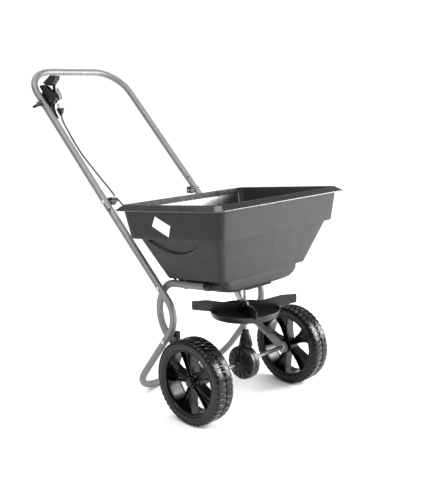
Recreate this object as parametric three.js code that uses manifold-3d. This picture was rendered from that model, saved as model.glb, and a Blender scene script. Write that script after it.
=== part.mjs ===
// A walk-behind broadcast spreader: a hopper on a bent-tube frame, two lugged wheels on one axle,
// a gear case that turns a four-bladed impeller under the hopper, and a folding push handle with a
// flow lever that slides a shutter under the hopper through a cable.
//
// Millimetres, +X forward, +Y to the user's left, +Z up. The pieces are placed with the ground at
// z = 0 and the axle above the origin, and the whole machine is then centred on its own footprint.

import * as THREE from 'three';
import { mergeVertices } from 'three/addons/utils/BufferGeometryUtils.js';
import Module from 'manifold-3d';

const wasm = await Module();
wasm.setup();

// ---------------------------------------------------------------- driving dimensions

const GAP = 0.3; // clearance between touching pieces
const RAD = Math.PI / 180;

const WHEEL = { radius: 127, width: 64, inner: 191.5, rimRadius: 98.5, spokes: 5, firstSpoke: 32 * RAD };
const AXLE = { radius: 6.35, halfLength: 246, z: WHEEL.radius };
const TUBE = { radius: 11, wall: 1.6, sides: 10, stepAngle: 22.5 * RAD };

const FRAME_Y = 200.5; // half spacing of the handle legs and the stand
const SUPPORT_Y = FRAME_Y - 2 * TUBE.radius - 0.5; // half spacing of the hopper tubes, just inboard

const FOLD = { x: -400, z: 617 }; // the bolts that the handle folds about
const HANDLE = { lean: 44.2 * RAD, length: 582, bend: 105 };
const LAP = { lowerTop: 47, lowerShoulder: -40, upperEnd: -32, upperShoulder: 54 }; // along the leg from FOLD

const KNEE = { x: -79.5, z: 293.9, bend: 77 }; // where the two straight runs of a leg would meet
const FOOT = { slope: 0.8183, bend: 108 }; // backward run of the stand for each unit of drop
const UPPER_BOLT = { x: -158, z: 373 };
const LOWER_BOLT = { x: -146, z: 212.6 };

const SUPPORT = { front: 11, slope: 0.066, height: 398.2, knee: -143, kneeBend: 50, bulgeBend: 106 };
const BULGE = { x: -253.4, z: 275.5 };
const EYE = { radius: 20, thick: 6, hole: 11, neck: 46 };

const HOPPER = { tilt: 3.8 * RAD, floor: 372, ledge: 415, step: 539, rim: 624, top: 641 };
const HOPPER_BOLT_X = -70;
const PORT = { x: 39, y: 31, radius: 13 };
const SHUTTER = { top: HOPPER.floor - 0.5, thick: 2, halfY: 50, front: 58, rear: -12, travel: 36 };

const IMPELLER = { z: 291, radius: 107, reach: 163, angle: -36.3 * RAD, blades: 4 };
const SHAFT = { radius: 4.75, bottom: 160, top: 411 };
const CASE = { radius: 52, wall: 3, near: -28, split: -10, far: 8, neckRadius: 18, neckTop: 228 };
const GEAR = { teeth: 32, pinionTeeth: 8, inner: 33, outer: 45, face: -9.2, tip: 11, root: 6.4 };

const CONTROL = { along: 423.5, normal: 21.4, dial: 31, near: -189.1, far: -172, clamp: 431 };
const CABLE = { radius: 2.75, sides: 8 };

// ---------------------------------------------------------------- materials

const material = (color, roughness, metalness) => () =>
  new THREE.MeshStandardMaterial({ color, roughness, metalness });

const greyPaint = material(0x7c7f83, 0.45, 0.6);
const blackPlastic = material(0x3a3b3c, 0.5, 0);
const blackRubber = material(0x2c2d2e, 0.75, 0);
const brightSteel = material(0xb4b6b8, 0.3, 1);
const yellowZinc = material(0xcdbb7a, 0.35, 1);
const palePlastic = material(0xd6d8d6, 0.5, 0);

// ---------------------------------------------------------------- solids and booleans

function toSolid(geometry) {
  const bare = geometry.clone();
  bare.deleteAttribute('normal');
  bare.deleteAttribute('uv');
  const merged = mergeVertices(bare, 1e-4);
  return new wasm.Manifold(new wasm.Mesh({
    numProp: 3,
    vertProperties: Float32Array.from(merged.attributes.position.array),
    triVerts: Uint32Array.from(merged.index.array),
  }));
}

function toGeometry(solid) {
  const mesh = solid.getMesh();
  const geometry = new THREE.BufferGeometry();
  geometry.setAttribute('position', new THREE.BufferAttribute(Float32Array.from(mesh.vertProperties), 3));
  geometry.setIndex(new THREE.BufferAttribute(Uint32Array.from(mesh.triVerts), 1));
  return geometry;
}

const join = (...parts) => toGeometry(parts.map(toSolid).reduce((whole, part) => whole.add(part)));
const cut = (base, ...tools) =>
  toGeometry(tools.map(toSolid).reduce((rest, tool) => rest.subtract(tool), toSolid(base)));

// ---------------------------------------------------------------- basic shapes

const at = (geometry, x, y, z) => geometry.clone().translate(x, y, z);

/** A rod or disc along 'y' or 'z' between two ends on that axis, centred on the other two. */
function rod(axis, radius, from, to, sides = 16) {
  const geometry = new THREE.CylinderGeometry(radius, radius, to - from, sides);
  geometry.translate(0, (from + to) / 2, 0);
  return axis === 'z' ? geometry.rotateX(Math.PI / 2) : geometry;
}

/** The same along 'y', at a point of the X-Z plane. */
const pin = (radius, x, z, from, to, sides = 12) => at(rod('y', radius, from, to, sides), x, 0, z);

const block = (x0, x1, y0, y1, z0, z1) =>
  at(new THREE.BoxGeometry(x1 - x0, y1 - y0, z1 - z0), (x0 + x1) / 2, (y0 + y1) / 2, (z0 + z1) / 2);

/** A profile of [radius, height] pairs turned about Y. It starts and ends on the axis, or is closed here. */
function turned(profile, segments) {
  const points = profile.map(([r, y]) => new THREE.Vector2(r, y));
  if (profile[0][0] > 0) points.push(points[0].clone());
  return new THREE.LatheGeometry(points, segments);
}

const turnedUp = (profile, segments) => turned(profile, segments).rotateX(Math.PI / 2);

/** An outline in the X-Z plane, given as [x, z] pairs, made thick from y0 to y1. */
function plate(outline, y0, y1) {
  const shape = new THREE.Shape(outline.map(([x, z]) => new THREE.Vector2(x, z)));
  const geometry = new THREE.ExtrudeGeometry(shape, { depth: y1 - y0, bevelEnabled: false });
  return geometry.rotateX(Math.PI / 2).translate(0, y1, 0);
}

const arc = (cx, cz, radius, from, to, steps) => Array.from({ length: steps + 1 }, (_, i) => {
  const angle = from + (to - from) * i / steps;
  return [cx + radius * Math.cos(angle), cz + radius * Math.sin(angle)];
});

const ring = (radius, sides, turn = 0) =>
  arc(0, 0, radius, turn, turn + 2 * Math.PI * (1 - 1 / sides), sides - 1)
    .map(([x, y]) => new THREE.Vector2(x, y));

// ---------------------------------------------------------------- bent tubes

/** A path that is stepped at its own stations: two for a straight run and a few for each bend. */
class StationPath extends THREE.Curve {
  constructor(stations) {
    super();
    this.stations = stations;
  }

  station(u) {
    return this.stations[Math.round(u * (this.stations.length - 1))];
  }

  getPoint(t) {
    return this.station(t).point.clone();
  }

  getPointAt(u) {
    return this.getPoint(u);
  }

  getTangentAt(u) {
    return this.station(u).tangent.clone();
  }
}

/** A path through corners { p: [x, y, z], r }, each corner between the ends rounded to radius r. */
function bentPath(corners, stepAngle = TUBE.stepAngle) {
  const points = corners.map(({ p }) => new THREE.Vector3(...p));
  const last = points.length - 1;
  const heading = (i) => points[i + 1].clone().sub(points[i]).normalize();
  const stations = [{ point: points[0], tangent: heading(0) }];
  for (let i = 1; i < last; i += 1) {
    const before = heading(i - 1);
    const angle = before.angleTo(heading(i));
    const radius = corners[i].r;
    const axis = before.clone().cross(heading(i)).normalize();
    const inward = axis.clone().cross(before);
    const start = points[i].clone().addScaledVector(before, -radius * Math.tan(angle / 2));
    const centre = start.clone().addScaledVector(inward, radius);
    const steps = Math.max(2, Math.ceil(angle / stepAngle));
    for (let k = 0; k <= steps; k += 1) {
      const turn = angle * k / steps;
      stations.push({
        point: centre.clone().addScaledVector(inward.clone().applyAxisAngle(axis, turn), -radius),
        tangent: before.clone().applyAxisAngle(axis, turn),
      });
    }
  }
  stations.push({ point: points[last], tangent: heading(last - 1) });
  return new StationPath(stations);
}

/** A smooth path through free points, stepped evenly. */
function smoothPath(points, steps) {
  const curve = new THREE.CatmullRomCurve3(points.map((p) => new THREE.Vector3(...p)), false, 'centripetal');
  return new StationPath(Array.from({ length: steps + 1 }, (_, i) => ({
    point: curve.getPointAt(i / steps),
    tangent: curve.getTangentAt(i / steps),
  })));
}

function sweep(path, shape) {
  const steps = path.stations.length - 1;
  return new THREE.ExtrudeGeometry(shape, { steps, extrudePath: path, bevelEnabled: false });
}

const wire = (path, radius, sides) => sweep(path, new THREE.Shape(ring(radius, sides)));

function tube(path, turn = 0) {
  const shape = new THREE.Shape(ring(TUBE.radius, TUBE.sides, turn));
  shape.holes.push(new THREE.Path(ring(TUBE.radius - TUBE.wall, TUBE.sides, turn).reverse()));
  return sweep(path, shape);
}

// ---------------------------------------------------------------- the assembly

const machine = new THREE.Group();

function add(name, geometry, makeMaterial) {
  const mesh = new THREE.Mesh(geometry, makeMaterial());
  mesh.name = name;
  machine.add(mesh);
}

const SIDES = [['right', -1], ['left', 1]];

/** Turns a piece made for the left side, in the X-Z plane's terms, into the one for either side. */
function forSide(side, geometry) {
  if (side > 0) return geometry;
  const mirrored = geometry.clone().scale(1, -1, 1);
  const index = Array.from(mirrored.index.array);
  for (let i = 0; i < index.length; i += 3) [index[i], index[i + 1]] = [index[i + 1], index[i]];
  mirrored.setIndex(index);
  return mirrored;
}

/** A point by the handle leg: its distance up the leg from the fold bolt, and forward of the leg. */
function onLeg(along, normal = 0) {
  const sin = Math.sin(HANDLE.lean);
  const cos = Math.cos(HANDLE.lean);
  return { x: FOLD.x - along * sin + normal * cos, z: FOLD.z + along * cos + normal * sin };
}

const legOutline = (pairs) => pairs.map(([along, normal]) => {
  const { x, z } = onLeg(along, normal);
  return [x, z];
});

// ---------------------------------------------------------------- frame tubes

/** The block that leaves half of a leg's section, so that the two tubes lap at the fold bolt. */
function lapTrim(side, outboard, from, to) {
  const near = outboard ? -GAP / 2 : -30;
  const far = outboard ? 30 : GAP / 2;
  const trim = side > 0 ? block(-16, 16, near, far, from, to) : block(-16, 16, -far, -near, from, to);
  return trim.rotateY(-HANDLE.lean).translate(FOLD.x, side * FRAME_Y, FOLD.z);
}

const crossHole = ({ x, z }) => pin(4.3, x, z, -FRAME_Y - 40, FRAME_Y + 40);

function makeLowerTube() {
  const top = onLeg(LAP.lowerTop);
  const footZ = TUBE.radius * Math.cos(Math.PI / TUBE.sides);
  const footX = KNEE.x - (KNEE.z - footZ) * FOOT.slope;
  const leg = (y) => [
    { p: [top.x, y, top.z] },
    { p: [KNEE.x, y, KNEE.z], r: KNEE.bend },
    { p: [footX, y, footZ], r: FOOT.bend },
  ];
  const flatDown = Math.PI / TUBE.sides - Math.atan(FOOT.slope);
  const body = tube(bentPath([...leg(-FRAME_Y), ...leg(FRAME_Y).reverse()]), flatDown);
  const trims = SIDES.map(([, side]) => lapTrim(side, true, LAP.lowerShoulder, 80));
  return cut(body, ...trims, ...[FOLD, UPPER_BOLT, LOWER_BOLT].map(crossHole));
}

function makeUpperHandle() {
  const corner = (y, along, r) => {
    const { x, z } = onLeg(along);
    return { p: [x, y, z], r };
  };
  const path = bentPath([
    corner(-FRAME_Y, LAP.upperEnd),
    corner(-FRAME_Y, HANDLE.length, HANDLE.bend),
    corner(FRAME_Y, HANDLE.length, HANDLE.bend),
    corner(FRAME_Y, LAP.upperEnd),
  ]);
  const trims = SIDES.map(([, side]) => lapTrim(side, false, -60, LAP.upperShoulder));
  const clamp = onLeg(CONTROL.clamp);
  return cut(tube(path), ...trims, crossHole(FOLD), pin(3.3, clamp.x, clamp.z, -230, -170));
}

const supportZ = (x) => SUPPORT.height + SUPPORT.slope * x;

function makeHopperTube() {
  const run = Math.hypot(BULGE.x, BULGE.z - AXLE.z);
  const toward = [BULGE.x / run, (BULGE.z - AXLE.z) / run];
  const spot = (distance, side) => [
    toward[0] * distance - toward[1] * side,
    AXLE.z + toward[1] * distance + toward[0] * side,
  ];
  const [endX, endZ] = spot(EYE.neck, 0);
  const body = tube(bentPath([
    { p: [SUPPORT.front, SUPPORT_Y, supportZ(SUPPORT.front)] },
    { p: [SUPPORT.knee, SUPPORT_Y, supportZ(SUPPORT.knee)], r: SUPPORT.kneeBend },
    { p: [BULGE.x, SUPPORT_Y, BULGE.z], r: SUPPORT.bulgeBend },
    { p: [endX, SUPPORT_Y, endZ] },
  ]));
  const heading = Math.atan2(toward[1], toward[0]);
  const round = arc(0, AXLE.z, EYE.radius, heading + Math.PI / 2, heading + Math.PI * 1.5, 8);
  const outline = [...round, spot(40, -14), spot(64, -10), spot(64, 10), spot(40, 14)];
  const eye = plate(outline, SUPPORT_Y - EYE.thick / 2, SUPPORT_Y + EYE.thick / 2);
  const screw = at(rod('z', 3.3, 350, 440, 10), HOPPER_BOLT_X, SUPPORT_Y, 0);
  const axleHole = pin(EYE.hole, 0, AXLE.z, 150, 200, 16);
  return cut(join(body, eye), axleHole, crossHole(UPPER_BOLT), crossHole(LOWER_BOLT), screw);
}

/** A plug that closes the front end of a hopper tube. */
function makeTubeCap() {
  const angle = Math.atan(SUPPORT.slope);
  const cap = join(
    rod('z', 12, GAP, 17, 12),
    rod('z', TUBE.radius - TUBE.wall - 1, -12, GAP, 12),
  );
  return cap.rotateY(Math.PI / 2 - angle).translate(SUPPORT.front, SUPPORT_Y, supportZ(SUPPORT.front));
}

add('lower_frame_tube', makeLowerTube(), greyPaint);
add('upper_handle', makeUpperHandle(), greyPaint);
for (const [name, side] of SIDES) {
  add(`${name}_hopper_tube`, forSide(side, makeHopperTube()), greyPaint);
  add(`${name}_tube_cap`, forSide(side, makeTubeCap()), blackPlastic);
}

// ---------------------------------------------------------------- hopper

/** Corner points of a rounded rectangle centred on (cx, 0). */
function roundedRectangle(cx, halfX, halfY, radius, steps = 3) {
  const corners = [[1, 1, 0], [-1, 1, 1], [-1, -1, 2], [1, -1, 3]];
  return corners.flatMap(([sx, sy, quarter]) => arc(
    cx + sx * (halfX - radius),
    sy * (halfY - radius),
    radius,
    quarter * Math.PI / 2,
    (quarter + 1) * Math.PI / 2,
    steps,
  ));
}

/** A closed skin over rounded rectangles stacked in height: [z, centre x, half x, half y, corner]. */
function stacked(levels) {
  const rings = levels.map(([z, ...size]) => roundedRectangle(...size).map(([x, y]) => [x, y, z]));
  const count = rings[0].length;
  const top = rings.length - 1;
  const positions = rings.flat();
  const base = positions.push([levels[0][1], 0, levels[0][0]]) - 1;
  const lid = positions.push([levels[top][1], 0, levels[top][0]]) - 1;
  const faces = [];
  for (let i = 0; i < count; i += 1) {
    const j = (i + 1) % count;
    for (let a = 0; a < top * count; a += count) {
      faces.push([a + i, a + j, a + count + j], [a + i, a + count + j, a + count + i]);
    }
    faces.push([base, j, i], [lid, top * count + i, top * count + j]);
  }
  const geometry = new THREE.BufferGeometry();
  geometry.setAttribute('position', new THREE.Float32BufferAttribute(positions.flat(), 3));
  geometry.setIndex(faces.flat());
  return geometry;
}

const HOPPER_OUTSIDE = [
  [HOPPER.floor, 0, 86, 122, 22],
  [HOPPER.floor + 5, 1, 95, 143, 24],
  [HOPPER.floor + 14, 1, 100, 156, 22],
  [HOPPER.floor + 27, 2, 103, 163, 18],
  [HOPPER.ledge - 1, 2, 104, 165, 18],
  [HOPPER.ledge, 1, 114, 190, 18],
  [HOPPER.ledge + 5, 1, 116.5, 192, 18],
  [HOPPER.step, 3, 167, 241, 20],
  [HOPPER.step + 1, -4, 187, 253, 20],
  [HOPPER.step + 7, -4, 188, 255, 20],
  [HOPPER.rim - 1, -4, 204, 261, 22],
  [HOPPER.rim, -4, 217.5, 279, 18],
  [HOPPER.rim + 3, -4, 218.5, 280, 18],
  [HOPPER.top - 3, -4, 205, 267, 20],
  [HOPPER.top, -4, 201.5, 263.5, 20],
];

const HOPPER_INSIDE = [
  [HOPPER.floor + 4, 0, 84, 118, 19],
  [HOPPER.floor + 9, 1, 91.5, 139.5, 21],
  [HOPPER.floor + 17, 1, 96.5, 153, 19],
  [HOPPER.floor + 29, 2, 99.5, 159.5, 15],
  [HOPPER.ledge + 2.5, 2, 100.5, 161.5, 15],
  [HOPPER.ledge + 4.5, 1, 111, 186.5, 15],
  [HOPPER.step + 3.5, 3, 163.5, 237.5, 17],
  [HOPPER.step + 5.5, -4, 184, 250, 17],
  [HOPPER.rim - 1, -4, 197.5, 256, 18],
  [HOPPER.top + 5, -4, 196, 258, 16],
];

/** The half-moon recess under the upper step of a side wall. Margin grows it to make its own wall. */
function recess(side, depth, margin) {
  const halfChord = 111 + margin;
  const drop = 46 + margin;
  const radius = (halfChord ** 2 + drop ** 2) / (2 * drop);
  const half = Math.asin(halfChord / radius);
  const outline = arc(-15, radius - drop, radius, -Math.PI / 2 - half, -Math.PI / 2 + half, 9);
  const lean = Math.atan2(241 - 192, HOPPER.step - HOPPER.ledge - 5);
  const tool = side < 0 ? plate(outline, -30, depth) : plate(outline, -depth, 30);
  return tool.rotateX(side < 0 ? lean : -lean).translate(0, side * 240.8, HOPPER.step - 0.5);
}

const tilted = (geometry) => geometry.clone().rotateY(-HOPPER.tilt);

/** Height of the tilted hopper's level w above the point x of the ground plane. */
const levelZ = (x, w) => x * Math.tan(HOPPER.tilt) + w / Math.cos(HOPPER.tilt);

function makeHopper() {
  const skin = (levels, depth, margin) =>
    cut(stacked(levels), ...SIDES.map(([, side]) => recess(side, depth, margin)));
  const shell = tilted(cut(skin(HOPPER_OUTSIDE, 6, 0), skin(HOPPER_INSIDE, 9.5, 3.5)));
  const boltBottom = supportZ(HOPPER_BOLT_X) + TUBE.radius + 1;
  const boltTop = levelZ(HOPPER_BOLT_X, HOPPER.ledge + 2);
  const bothBolts = (radius, from, to, sides) => SIDES.map(([, side]) =>
    at(rod('z', radius, from, to, sides), HOPPER_BOLT_X, side * SUPPORT_Y, 0));
  const bosses = bothBolts(7, boltBottom, boltTop, 12);
  const holes = bothBolts(3.3, 390, 440, 10);
  const ports = SIDES.map(([, side]) => at(rod('z', PORT.radius, 340, 400, 16), PORT.x, side * PORT.y, 0));
  return cut(join(shell, ...bosses), ...holes, ...ports, rod('z', 12.3, 340, 400, 16));
}

/** A blank label: a flat parallelogram on the right side of the upper band. */
function makeLabel() {
  const outline = [[-77.5, 580], [-14, 550], [-0.5, 582], [-59.5, 609]];
  const lean = Math.atan2(261 - 255, HOPPER.rim - HOPPER.step - 8);
  const sticker = plate(outline, -0.6, 0).translate(0, 0, -580).rotateX(lean);
  return tilted(sticker.translate(0, -258.2, 580));
}

function makeHopperBolt() {
  const x = HOPPER_BOLT_X;
  const seat = levelZ(x, HOPPER.ledge + 5.6);
  const head = rod('z', 4.2, seat, seat + 2.6, 12);
  const shank = rod('z', 3, supportZ(x) - TUBE.radius - 11, seat + 1, 10);
  return join(head, shank).translate(x, SUPPORT_Y, 0);
}

function makeHopperNut() {
  const x = HOPPER_BOLT_X;
  const top = supportZ(x) - TUBE.radius - 0.5;
  return cut(rod('z', 5.8, top - 5, top, 6), rod('z', 3.3, top - 8, top + 2, 10)).translate(x, SUPPORT_Y, 0);
}

add('hopper', makeHopper(), blackPlastic);
add('hopper_label', makeLabel(), palePlastic);
for (const [name, side] of SIDES) {
  add(`${name}_hopper_bolt`, forSide(side, makeHopperBolt()), brightSteel);
  add(`${name}_hopper_nut`, forSide(side, makeHopperNut()), brightSteel);
}

// ---------------------------------------------------------------- shutter under the hopper floor

/** The plate that covers the two ports, with a slot that lets it slide back past the shaft. */
function makeShutter() {
  const { top, thick, halfY, front, rear, travel } = SHUTTER;
  const slide = (x) => [at(rod('z', 7, top - 9, top + 9, 14), x, 0, 0)];
  const slot = join(block(0, travel, -7, 7, top - 9, top + 9), ...slide(0), ...slide(travel));
  const body = block(rear, front, -halfY, halfY, top - thick, top);
  const tongue = block(-54, rear + 1, -9, 9, top - thick, top);
  const clamp = rod('z', 4.5, top - 12, top - thick / 2, 12);
  const hole = rod('y', 1.4, -20, 20, 8).rotateZ(Math.PI / 2).translate(-48, 0, top - 8);
  const whole = join(body, tongue, at(clamp, -48, 0, 0));
  return underFloor(cut(whole, slot, hole));
}

/** A tray under the shutter, hung from the floor by its side walls, with the cable's end stop. */
function makeGuide() {
  const { top, thick, halfY } = SHUTTER;
  const z1 = top - thick - GAP;
  const z0 = z1 - 2;
  const wall = (y0, y1) => block(-40, 62, y0, y1, z0, top + 0.2);
  const floor = block(-40, 62, -halfY - 3, halfY + 3, z0, z1);
  const rails = [wall(-halfY - 3, -halfY - GAP), wall(halfY + GAP, halfY + 3)];
  const arms = [-1, 1].map((s) => block(-98, -39, s > 0 ? 12 : -16, s > 0 ? 16 : -12, z0, z1));
  const stop = block(-100, -96, -16, 16, z0 - 12, z1);
  const ports = SIDES.map(([, side]) => at(rod('z', PORT.radius + 1.5, z0 - 2, z1 + 2, 16), PORT.x, side * PORT.y, 0));
  const tongueSpace = block(-60, -20, -11, 11, z0 - 2, z1 + 2);
  const wireHole = rod('y', CABLE.radius + 1, -9, 9, 10).rotateZ(Math.PI / 2).translate(-98, 0, top - 8);
  const shaftHole = rod('z', 12, z0 - 2, z1 + 2, 16);
  return underFloor(cut(join(floor, ...rails, ...arms, stop), ...ports, tongueSpace, wireHole, shaftHole));
}

/** Tilts a piece that lies under the floor, keeping its zero at the shaft. */
function underFloor(geometry) {
  return tilted(geometry.clone().translate(HOPPER.floor * Math.sin(HOPPER.tilt), 0, 0));
}

add('shutter_plate', makeShutter(), blackPlastic);
add('shutter_guide', makeGuide(), blackPlastic);

// ---------------------------------------------------------------- wheels and axle

/** Builds a wheel piece about Y at its middle, outboard towards +Y. */
const onAxle = (geometry, y) => geometry.clone().translate(0, y, AXLE.z);
const wheelY = WHEEL.inner + WHEEL.width / 2;

function makeTyre() {
  const half = WHEEL.width / 2;
  const { radius, rimRadius } = WHEEL;
  return turned([
    [rimRadius + GAP, -half + 2],
    [radius - 5, -half],
    [radius, -half + 6],
    [radius, half - 6],
    [radius - 5, half],
    [rimRadius + GAP, half - 2],
  ], 36);
}

function makeRim() {
  const half = WHEEL.width / 2 - 2.5;
  const { rimRadius } = WHEEL;
  const barrel = turned([
    [rimRadius - 4, -half],
    [rimRadius, -half],
    [rimRadius, half],
    [rimRadius - 4, half],
  ], 36);
  const hub = turned([[0, -half - 1], [24, -half - 1], [24, 6], [17, 18], [0, 18]], 16);
  const spokes = Array.from({ length: WHEEL.spokes }, (_, i) => {
    const outline = [[15, -8], [48, -11], [78, -18], [92, -25], [92, 25], [78, 18], [48, 11], [15, 8]];
    return plate(outline, -20, 14).rotateY(-WHEEL.firstSpoke - i * 72 * RAD);
  });
  return cut(join(barrel, hub, ...spokes), rod('y', AXLE.radius + GAP, -60, 60, 12));
}

function makeHubCap() {
  const profile = [[0, 0], [12, 0], [12, 6], [10, 9], [0, 10]];
  return cut(turned(profile, 16), rod('y', AXLE.radius + GAP, -1, 5, 12));
}

function makeBushing() {
  const sleeve = rod('y', EYE.hole - GAP, -5, 4);
  const flange = rod('y', 15, EYE.thick / 2 + GAP, 6.5);
  return cut(join(sleeve, flange), rod('y', AXLE.radius + GAP, -9, 9, 12));
}

const collar = (radius, length) =>
  cut(rod('y', radius, 0, length), rod('y', AXLE.radius + GAP, -1, length + 1, 12));

for (const [name, side] of SIDES) {
  const place = (geometry, y) => forSide(side, join(onAxle(geometry, y)));
  add(`${name}_tyre`, place(makeTyre(), wheelY), blackRubber);
  add(`${name}_wheel_rim`, place(makeRim(), wheelY), blackPlastic);
  add(`${name}_hub_cap`, place(makeHubCap(), wheelY + 18.4), blackPlastic);
  add(`${name}_axle_bushing`, place(makeBushing(), SUPPORT_Y), palePlastic);
  add(`${name}_spacer`, place(collar(11, 6.2), SUPPORT_Y + 6.9), brightSteel);
}
add('axle', onAxle(rod('y', AXLE.radius, -AXLE.halfLength, AXLE.halfLength, 12), 0), brightSteel);

// ---------------------------------------------------------------- gears and their case

function makeCrownGear() {
  const { face, inner, outer, teeth } = GEAR;
  const bore = AXLE.radius + GAP;
  const disc = turned([
    [bore, face - 10],
    [outer, face - 8],
    [outer, face - 3],
    [bore + 6, face - 3],
    [bore + 6, face + 8],
    [bore, face + 8],
  ], 32);
  const pitch = 2 * Math.PI / teeth;
  const cogs = Array.from({ length: teeth }, (_, i) => {
    const middle = Math.PI / 2 + (i + 0.5) * pitch;
    const edge = (radius, turn) => [radius * Math.cos(turn), radius * Math.sin(turn)];
    const low = middle - pitch * 0.2;
    const high = middle + pitch * 0.2;
    const outline = [edge(inner, low), edge(outer - 0.5, low), edge(outer - 0.5, high), edge(inner, high)];
    return plate(outline, face - 3.5, face);
  });
  return onAxle(join(disc, ...cogs), 0);
}

function makePinion() {
  const pitch = 2 * Math.PI / GEAR.pinionTeeth;
  const sides = [[GEAR.root, -0.3], [GEAR.tip, -0.12], [GEAR.tip, 0.12], [GEAR.root, 0.3]];
  const outline = Array.from({ length: GEAR.pinionTeeth }, (_, i) => sides.map(([radius, share]) => {
    const turn = -Math.PI / 2 + (i + share) * pitch;
    return new THREE.Vector2(radius * Math.cos(turn), radius * Math.sin(turn));
  })).flat();
  const body = new THREE.ExtrudeGeometry(new THREE.Shape(outline), { depth: 11, bevelEnabled: false });
  return cut(body, rod('z', SHAFT.radius + GAP, -2, 14)).translate(0, 0, AXLE.z + GEAR.inner + 0.5);
}

const caseDrum = (radius, y0, y1) => onAxle(rod('y', radius, y0, y1, 28), 0);
const caseBore = () => onAxle(rod('y', AXLE.radius + GAP, -90, 90, 12), 0);

function makeCaseCover() {
  const { radius, wall, near, split } = CASE;
  const boss = onAxle(rod('y', 14, near - 24, near + 1, 14), 0);
  const ribs = [12, -12].map((turn) =>
    block(-2, 2, near - 5, near + 1, 10, radius - 1).rotateY(turn * RAD).translate(0, 0, AXLE.z));
  const shell = join(caseDrum(radius, near, split - GAP / 2), boss, ...ribs);
  return cut(shell, caseDrum(radius - wall, near + wall, split + 5), caseBore());
}

function makeCaseBody() {
  const { radius, wall, split, far, neckRadius, neckTop } = CASE;
  const neck = turnedUp([
    [0, 146],
    [neckRadius, 146],
    [neckRadius, 180],
    [neckRadius - 7, neckTop - 12],
    [neckRadius - 7, neckTop],
    [0, neckTop],
  ], 16);
  const boss = onAxle(rod('y', 14, far - 1, far + 16, 14), 0);
  const shell = join(caseDrum(radius, split + GAP / 2, far), neck, boss);
  const chamber = join(
    rod('z', neckRadius - wall, 150, 178),
    caseDrum(radius - wall, split - 5, far - wall),
  );
  const coverSpace = caseDrum(radius + 1, -60, split + GAP / 2);
  return cut(shell, coverSpace, chamber, rod('z', SHAFT.radius + GAP, 140, 260, 12), caseBore());
}

add('bevel_gear', makeCrownGear(), brightSteel);
add('pinion', makePinion(), brightSteel);
add('gear_case_cover', makeCaseCover(), blackPlastic);
add('gear_case_body', makeCaseBody(), blackPlastic);

// ---------------------------------------------------------------- impeller, its shaft and the agitator

function makeImpeller() {
  const { z, radius, reach, angle, blades } = IMPELLER;
  const tray = turnedUp([
    [0, z - 16],
    [radius - 9, z - 17],
    [radius - 3, z - 14],
    [radius, z],
    [radius, z + 4],
    [radius - 3, z + 4],
    [radius - 5, z],
    [26, z],
    [15, z + 12],
    [0, z + 12],
  ], 36);
  const outline = [
    [0, z - 2],
    [radius - 3, z - 2],
    [radius, z + 2],
    [reach, z + 12],
    [reach, z + 39],
    [115, z + 39],
    [45, z + 25],
    [0, z + 23],
  ];
  const vanes = Array.from({ length: blades }, (_, i) =>
    plate(outline, -1.8, 1.8).rotateZ(angle + i * 2 * Math.PI / blades));
  const whole = join(tray, rod('z', 10, z, z + 28), ...vanes);
  return cut(whole, rod('z', SHAFT.radius + GAP, z - 30, z + 60, 12));
}

const AGITATOR = { z: 396, reach: 46, radius: 2 };

function makeShaft() {
  const cross = rod('y', AGITATOR.radius + GAP, -20, 20, 10).rotateZ(Math.PI / 2).translate(0, 0, AGITATOR.z);
  return cut(rod('z', SHAFT.radius, SHAFT.bottom, SHAFT.top, 12), cross);
}

function makeAgitator() {
  const { z, reach, radius } = AGITATOR;
  return wire(bentPath([
    { p: [-reach, 0, z + 24] },
    { p: [-reach, 0, z], r: 8 },
    { p: [reach, 0, z], r: 8 },
    { p: [reach, 0, z - 10] },
  ], 30 * RAD), radius, 8);
}

function makeShaftBushing() {
  const bottom = levelZ(12, SHUTTER.top) + GAP;
  const seat = levelZ(16, HOPPER.floor + 4) + GAP;
  const body = join(rod('z', 12, bottom, seat + 1), rod('z', 16, seat, seat + 3));
  return cut(body, rod('z', SHAFT.radius + GAP, 360, 400));
}

add('impeller', makeImpeller(), blackPlastic);
add('impeller_shaft', makeShaft(), brightSteel);
add('agitator', makeAgitator(), brightSteel);
add('shaft_bushing', makeShaftBushing(), palePlastic);

// ---------------------------------------------------------------- crossing bolts and fold knobs

/** A carriage bolt along Y: round head outboard of the leg, shank ending at |y| = inner. */
function makeBolt({ x, z }, inner) {
  const outer = FRAME_Y + TUBE.radius + GAP;
  const head = turned([[0, 0], [8, 0], [7.4, 2.2], [4.6, 4], [0, 4.6]], 12).translate(0, outer, 0);
  return join(head, rod('y', 4, inner, outer + 1, 10)).translate(x, 0, z);
}

function makeNut({ x, z }) {
  const face = SUPPORT_Y - TUBE.radius - GAP;
  return cut(rod('y', 7.5, face - 6, face, 6), rod('y', 4.3, face - 9, face + 2, 12)).translate(x, 0, z);
}

/** A four-lobed clamp knob whose collar bears on a tube's inboard side at |y| = face. */
function makeKnob({ x, z }, face, length) {
  const lobes = arc(0, 0, 9.5, Math.PI / 4, Math.PI * 1.75, 3)
    .map(([lx, lz]) => pin(5, lx, lz, face - length + 2, face - 6, 8));
  const core = rod('y', 10, face - length, face - 4, 12);
  const neck = rod('y', 7.5, face - 5, face, 12);
  return cut(join(core, neck, ...lobes), rod('y', 4.3, face - 60, face + 5, 10)).translate(x, 0, z);
}

/** A bar-shaped clamp knob on the lower crossing bolt, upright against the tube. */
function makeBarKnob({ x, z }, face, length) {
  const bar = block(-9, 9, face - length, face - 5, -19, 19);
  const neck = rod('y', 8, face - 6, face, 12);
  return cut(join(bar, neck), rod('y', 4.3, face - length - 5, face + 5, 10)).translate(x, 0, z);
}

const CLIP = { y: -157, along: 7, normal: 7 };

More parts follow.
